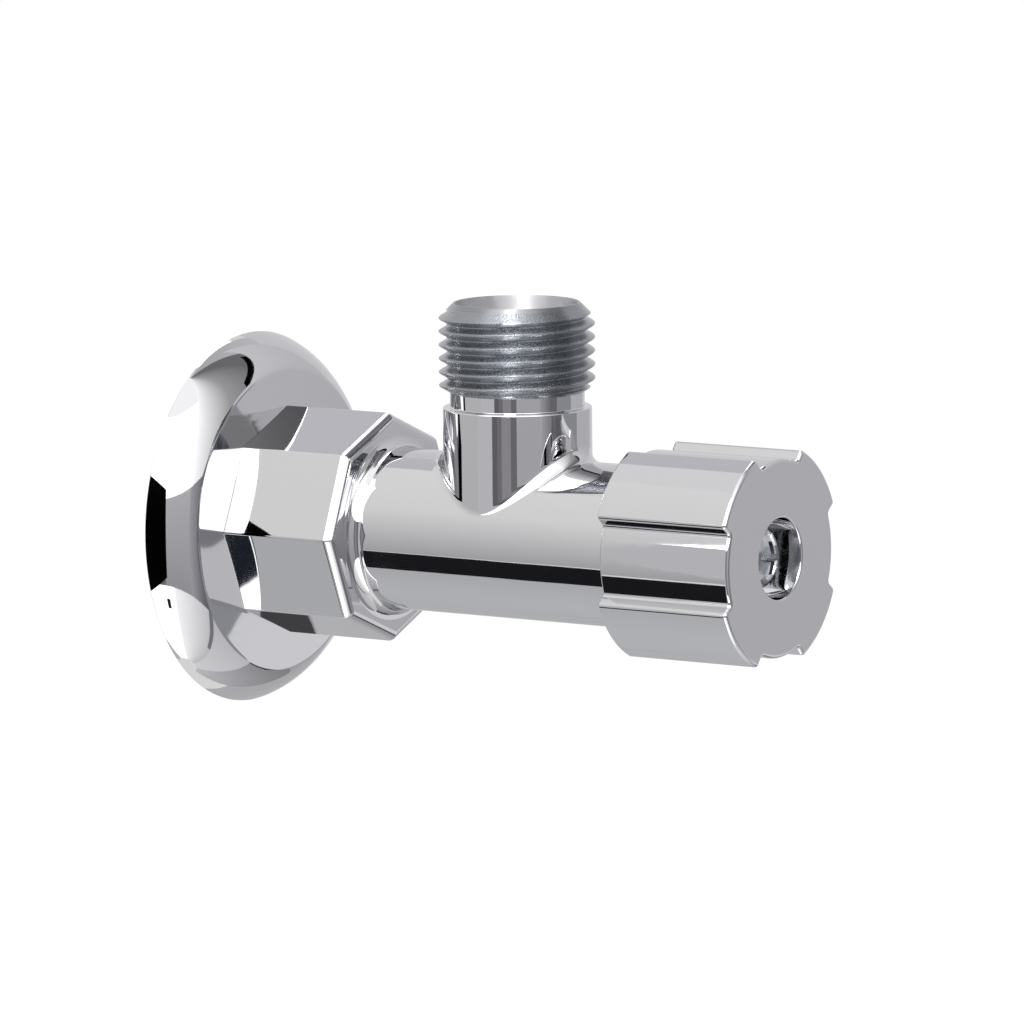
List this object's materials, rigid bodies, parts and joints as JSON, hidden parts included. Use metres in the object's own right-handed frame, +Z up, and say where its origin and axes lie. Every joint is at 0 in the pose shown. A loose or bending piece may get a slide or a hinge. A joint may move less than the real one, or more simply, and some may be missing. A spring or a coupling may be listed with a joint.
{
  "type": "supply stop valve",
  "caption": "Chromed quarter-turn angle stop valve with wall rosette, octagonal wrench section, threaded outlet pointing up and lobed knob.",
  "frame": {"origin": "on the inlet thread's axis, in the plane of the wall that the rosette's rim rests on", "axes": "+X runs out of the wall along the barrel to the knob, +Z runs up along the outlet, +Y completes the right-handed frame"},
  "size_m": [0.0938, 0.0506, 0.0569],
  "materials": {
    "chrome": "polished chrome plate",
    "brass": "turned",
    "rubber": "moulded",
    "ceramic": "lapped ceramic",
    "plastic": "moulded",
    "steel": "bright stainless steel"
  },
  "bodies": {
    "valve": {"valve_body": "chrome", "wall_rosette": "chrome", "headwork_housing": "brass", "headwork_o_ring": "rubber", "seat_seal": "rubber", "fixed_disc": "ceramic", "seal_support_ring": "plastic", "thrust_washer": "plastic"},
    "handle": {"spindle": "brass", "moving_disc": "ceramic", "spindle_o_ring_inner": "rubber", "spindle_o_ring_outer": "rubber", "snap_ring": "steel", "stop_ring": "brass", "knob": "chrome", "knob_insert": "plastic", "knob_screw": "steel", "screw_washer": "steel"}
  },
  "joints": [
    {"name": "knob_turn", "type": "hinge", "parent": "valve", "child": "handle", "pos_m": [0.0744, 0, 0], "axis": [1, 0, 0], "range_deg": [0, 90]}
  ]
}
